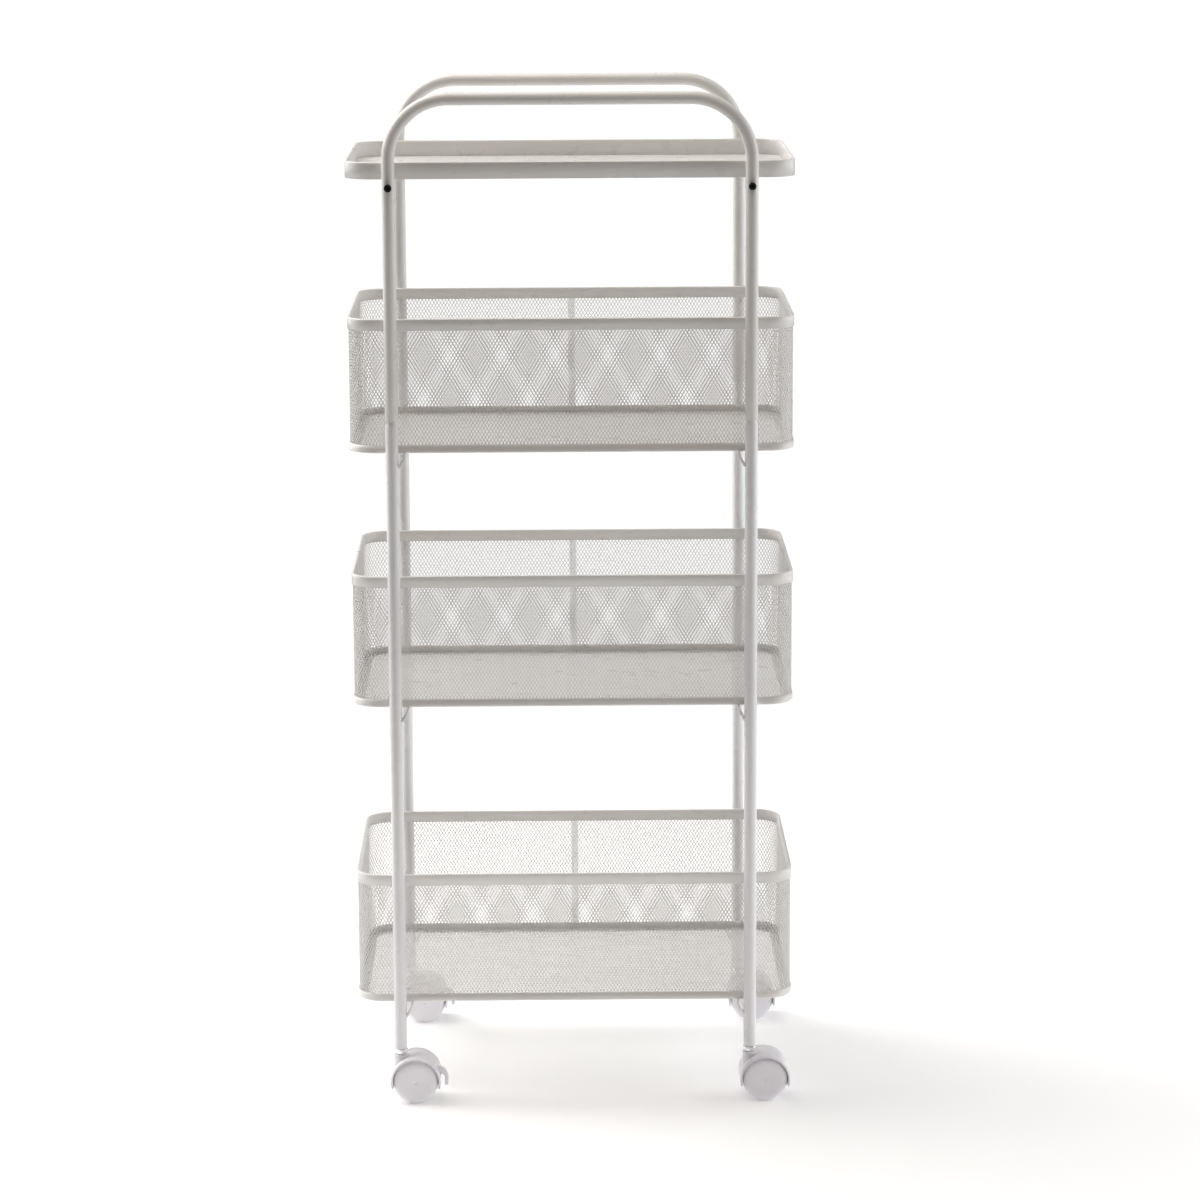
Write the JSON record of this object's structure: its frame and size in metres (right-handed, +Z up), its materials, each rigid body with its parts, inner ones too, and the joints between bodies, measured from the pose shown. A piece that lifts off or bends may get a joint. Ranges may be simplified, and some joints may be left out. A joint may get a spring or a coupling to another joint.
{
  "type": "rolling utility cart",
  "caption": "Tall narrow rolling cart: twin bent tube frames, a shallow tray above open mesh baskets, and twin-wheel swivel casters.",
  "frame": {"origin": "centre of the cart's footprint, on the floor under the wheels", "axes": "+Z up, -Y the front, +X the cart's right as seen from the front"},
  "size_m": [0.439, 0.312, 1.012],
  "materials": {
    "powder_coat": "warm white powder coat, satin with fine orange peel",
    "white_plastic": "moulded cool white plastic, satin gloss",
    "chrome": "bright plated",
    "black_steel": "black oxide",
    "bright_steel": "plain turned steel"
  },
  "bodies": {
    "frame": {"front_handle_tube": "powder_coat", "rear_handle_tube": "powder_coat", "tray_rim": "powder_coat", "tray_mesh_floor": "powder_coat", "front_left_lower_post": "powder_coat", "front_left_stem_socket": "white_plastic", "front_left_caster_stem": "chrome", "front_left_tray_screw": "black_steel", "front_right_lower_post": "powder_coat", "front_right_stem_socket": "white_plastic", "front_right_caster_stem": "chrome", "front_right_tray_screw": "black_steel", "rear_left_lower_post": "powder_coat", "rear_left_stem_socket": "white_plastic", "rear_left_caster_stem": "chrome", "rear_left_tray_screw": "black_steel", "rear_right_lower_post": "powder_coat", "rear_right_stem_socket": "white_plastic", "rear_right_caster_stem": "chrome", "rear_right_tray_screw": "black_steel", "lower_basket_rim": "powder_coat", "lower_basket_mesh": "powder_coat", "lower_basket_bottom_band": "powder_coat", "middle_basket_rim": "powder_coat", "middle_basket_mesh": "powder_coat", "middle_basket_bottom_band": "powder_coat", "upper_basket_rim": "powder_coat", "upper_basket_mesh": "powder_coat", "upper_basket_bottom_band": "powder_coat"},
    "front_left_swivel": {"front_left_caster_hood": "white_plastic", "front_left_caster_axle": "bright_steel", "front_left_brake_pin": "bright_steel"},
    "front_left_wheel_a": {"front_left_wheel_a": "white_plastic"},
    "front_left_wheel_b": {"front_left_wheel_b": "white_plastic"},
    "front_left_brake_lever": {"front_left_brake_lever": "white_plastic"},
    "front_right_swivel": {"front_right_caster_hood": "white_plastic", "front_right_caster_axle": "bright_steel"},
    "front_right_wheel_a": {"front_right_wheel_a": "white_plastic"},
    "front_right_wheel_b": {"front_right_wheel_b": "white_plastic"},
    "rear_left_swivel": {"rear_left_caster_hood": "white_plastic", "rear_left_caster_axle": "bright_steel", "rear_left_brake_pin": "bright_steel"},
    "rear_left_wheel_a": {"rear_left_wheel_a": "white_plastic"},
    "rear_left_wheel_b": {"rear_left_wheel_b": "white_plastic"},
    "rear_left_brake_lever": {"rear_left_brake_lever": "white_plastic"},
    "rear_right_swivel": {"rear_right_caster_hood": "white_plastic", "rear_right_caster_axle": "bright_steel"},
    "rear_right_wheel_a": {"rear_right_wheel_a": "white_plastic"},
    "rear_right_wheel_b": {"rear_right_wheel_b": "white_plastic"}
  },
  "joints": [
    {"name": "front_left_swivel_turn", "type": "hinge", "parent": "frame", "child": "front_left_swivel", "pos_m": [-0.176, -0.1355, 0.05], "axis": [0, 0, 1], "continuous": true},
    {"name": "front_left_wheel_a_spin", "type": "hinge", "parent": "front_left_swivel", "child": "front_left_wheel_a", "pos_m": [-0.161, -0.1355, 0.0225], "axis": [0, 1, 0], "continuous": true},
    {"name": "front_left_wheel_b_spin", "type": "hinge", "parent": "front_left_swivel", "child": "front_left_wheel_b", "pos_m": [-0.161, -0.1355, 0.0225], "axis": [0, 1, 0], "continuous": true},
    {"name": "front_left_brake_press", "type": "hinge", "parent": "front_left_swivel", "child": "front_left_brake_lever", "pos_m": [-0.14256, -0.1355, 0.03098], "axis": [0, 1, 0], "range_deg": [0, 14]},
    {"name": "front_right_swivel_turn", "type": "hinge", "parent": "frame", "child": "front_right_swivel", "pos_m": [0.176, -0.1355, 0.05], "axis": [0, 0, 1], "continuous": true},
    {"name": "front_right_wheel_a_spin", "type": "hinge", "parent": "front_right_swivel", "child": "front_right_wheel_a", "pos_m": [0.191, -0.1355, 0.0225], "axis": [0, 1, 0], "continuous": true},
    {"name": "front_right_wheel_b_spin", "type": "hinge", "parent": "front_right_swivel", "child": "front_right_wheel_b", "pos_m": [0.191, -0.1355, 0.0225], "axis": [0, 1, 0], "continuous": true},
    {"name": "rear_left_swivel_turn", "type": "hinge", "parent": "frame", "child": "rear_left_swivel", "pos_m": [-0.176, 0.1355, 0.05], "axis": [0, 0, 1], "continuous": true},
    {"name": "rear_left_wheel_a_spin", "type": "hinge", "parent": "rear_left_swivel", "child": "rear_left_wheel_a", "pos_m": [-0.161, 0.1355, 0.0225], "axis": [0, 1, 0], "continuous": true},
    {"name": "rear_left_wheel_b_spin", "type": "hinge", "parent": "rear_left_swivel", "child": "rear_left_wheel_b", "pos_m": [-0.161, 0.1355, 0.0225], "axis": [0, 1, 0], "continuous": true},
    {"name": "rear_left_brake_press", "type": "hinge", "parent": "rear_left_swivel", "child": "rear_left_brake_lever", "pos_m": [-0.14256, 0.1355, 0.03098], "axis": [0, 1, 0], "range_deg": [0, 14]},
    {"name": "rear_right_swivel_turn", "type": "hinge", "parent": "frame", "child": "rear_right_swivel", "pos_m": [0.176, 0.1355, 0.05], "axis": [0, 0, 1], "continuous": true},
    {"name": "rear_right_wheel_a_spin", "type": "hinge", "parent": "rear_right_swivel", "child": "rear_right_wheel_a", "pos_m": [0.191, 0.1355, 0.0225], "axis": [0, 1, 0], "continuous": true},
    {"name": "rear_right_wheel_b_spin", "type": "hinge", "parent": "rear_right_swivel", "child": "rear_right_wheel_b", "pos_m": [0.191, 0.1355, 0.0225], "axis": [0, 1, 0], "continuous": true}
  ]
}
